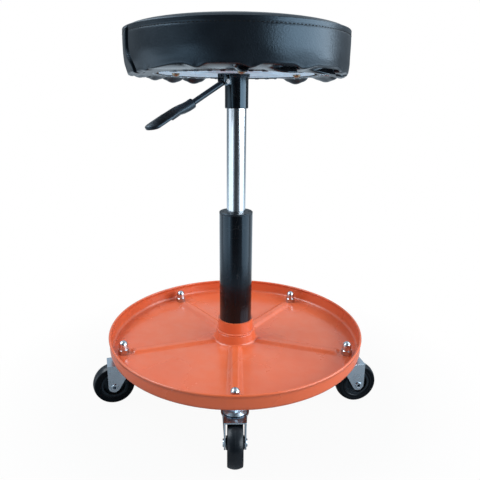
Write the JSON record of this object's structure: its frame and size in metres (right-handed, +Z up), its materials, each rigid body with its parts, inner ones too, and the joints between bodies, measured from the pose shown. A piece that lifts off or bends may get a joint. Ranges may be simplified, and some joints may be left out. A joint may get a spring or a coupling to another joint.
{
  "type": "mechanic's roller stool",
  "caption": "Gas-lift swivel work stool: padded round seat with release lever over a round tool tray on swivel casters.",
  "frame": {"origin": "on the floor, under the axis of the column", "axes": "+Z up along the column; -Y towards the front caster; the release lever points front left"},
  "size_m": [0.432, 0.4216, 0.5463],
  "materials": {
    "orange_enamel": "gloss enamel",
    "black_enamel": "satin powder coat",
    "black_plastic": "moulded",
    "chromed_steel": "polished",
    "bearing_steel": "ground",
    "zinc_plated_steel": "bright zinc",
    "galvanised_sheet": "galvanised",
    "yellow_zinc_screws": "passivated",
    "plywood": "sanded",
    "seat_foam": "open cell",
    "black_vinyl": "grained",
    "hub_plastic": "moulded",
    "tyre_rubber": "matt",
    "stop_rubber": "matt"
  },
  "bodies": {
    "base": {"tray": "orange_enamel", "hub_socket": "orange_enamel", "column_tube": "black_enamel", "guide_bushing": "black_plastic", "thrust_washer_lower": "bearing_steel", "cap_nuts": "chromed_steel", "caster_stems": "zinc_plated_steel", "bearing_caps": "zinc_plated_steel", "swivel_balls": "bearing_steel"},
    "lift_rod": {"piston_rod": "chromed_steel", "piston": "bearing_steel", "thrust_balls": "bearing_steel", "thrust_washer_upper": "bearing_steel", "bump_stop": "stop_rubber", "rod_clip": "bearing_steel"},
    "seat": {"gas_cylinder": "chromed_steel", "rod_guide": "bearing_steel", "seat_sleeve": "black_enamel", "lever_bracket": "black_enamel", "lever_pin": "bearing_steel", "seat_plate": "galvanised_sheet", "seat_screws": "yellow_zinc_screws", "seat_board": "plywood", "seat_foam": "seat_foam", "seat_cover": "black_vinyl"},
    "lever": {"lever_rod": "black_enamel", "lever_paddle": "black_plastic"},
    "valve": {"valve_pin": "bearing_steel"},
    "caster_front": {"fork_front": "zinc_plated_steel", "axle_front": "zinc_plated_steel", "bush_front": "zinc_plated_steel"},
    "wheel_front": {"wheel_hub_front": "hub_plastic", "tyre_front": "tyre_rubber"},
    "caster_right": {"fork_right": "zinc_plated_steel", "axle_right": "zinc_plated_steel", "bush_right": "zinc_plated_steel"},
    "wheel_right": {"wheel_hub_right": "hub_plastic", "tyre_right": "tyre_rubber"},
    "caster_back_right": {"fork_back_right": "zinc_plated_steel", "axle_back_right": "zinc_plated_steel", "bush_back_right": "zinc_plated_steel"},
    "wheel_back_right": {"wheel_hub_back_right": "hub_plastic", "tyre_back_right": "tyre_rubber"},
    "caster_back_left": {"fork_back_left": "zinc_plated_steel", "axle_back_left": "zinc_plated_steel", "bush_back_left": "zinc_plated_steel"},
    "wheel_back_left": {"wheel_hub_back_left": "hub_plastic", "tyre_back_left": "tyre_rubber"},
    "caster_left": {"fork_left": "zinc_plated_steel", "axle_left": "zinc_plated_steel", "bush_left": "zinc_plated_steel"},
    "wheel_left": {"wheel_hub_left": "hub_plastic", "tyre_left": "tyre_rubber"}
  },
  "joints": [
    {"name": "seat_swivel", "type": "hinge", "parent": "base", "child": "lift_rod", "pos_m": [0, 0, 0.07], "axis": [0, 0, 1], "continuous": true},
    {"name": "seat_lift", "type": "slide", "parent": "lift_rod", "child": "seat", "axis": [0, 0, 1], "range_m": [-0.125, 0]},
    {"name": "lever_lift", "type": "hinge", "parent": "seat", "child": "lever", "pos_m": [-0.01685, -0.01414, 0.47], "axis": [-0.6428, 0.766, 0], "range_deg": [0, 8]},
    {"name": "valve_press", "type": "slide", "parent": "seat", "child": "valve", "axis": [0, 0, -1], "range_m": [0, 0.0036]},
    {"name": "caster_swivel_front", "type": "hinge", "parent": "base", "child": "caster_front", "pos_m": [0, -0.1765, 0.07], "axis": [0, 0, 1], "continuous": true},
    {"name": "wheel_spin_front", "type": "hinge", "parent": "caster_front", "child": "wheel_front", "pos_m": [0.0003, -0.1935, 0.031], "axis": [0.9998, 0.0175, 0], "continuous": true},
    {"name": "caster_swivel_right", "type": "hinge", "parent": "base", "child": "caster_right", "pos_m": [0.16786, -0.05454, 0.07], "axis": [0, 0, 1], "continuous": true},
    {"name": "wheel_spin_right", "type": "hinge", "parent": "caster_right", "child": "wheel_right", "pos_m": [0.18455, -0.0513, 0.031], "axis": [-0.1908, 0.9816, 0], "continuous": true},
    {"name": "caster_swivel_back_right", "type": "hinge", "parent": "base", "child": "caster_back_right", "pos_m": [0.10374, 0.14279, 0.07], "axis": [0, 0, 1], "continuous": true},
    {"name": "wheel_spin_back_right", "type": "hinge", "parent": "caster_back_right", "child": "wheel_back_right", "pos_m": [0.1175, 0.15278, 0.031], "axis": [-0.5878, 0.809, 0], "continuous": true},
    {"name": "caster_swivel_back_left", "type": "hinge", "parent": "base", "child": "caster_back_left", "pos_m": [-0.10374, 0.14279, 0.07], "axis": [0, 0, 1], "continuous": true},
    {"name": "wheel_spin_back_left", "type": "hinge", "parent": "caster_back_left", "child": "wheel_back_left", "pos_m": [-0.11677, 0.15372, 0.031], "axis": [-0.6428, -0.766, 0], "continuous": true},
    {"name": "caster_swivel_left", "type": "hinge", "parent": "base", "child": "caster_left", "pos_m": [-0.16786, -0.05454, 0.07], "axis": [0, 0, 1], "continuous": true},
    {"name": "wheel_spin_left", "type": "hinge", "parent": "caster_left", "child": "wheel_left", "pos_m": [-0.1842, -0.05923, 0.031], "axis": [0.2756, -0.9613, 0], "continuous": true}
  ],
  "couplings": [
    {"joint": "valve_press", "follows": "lever_lift", "m_per_rad": 0.025}
  ]
}
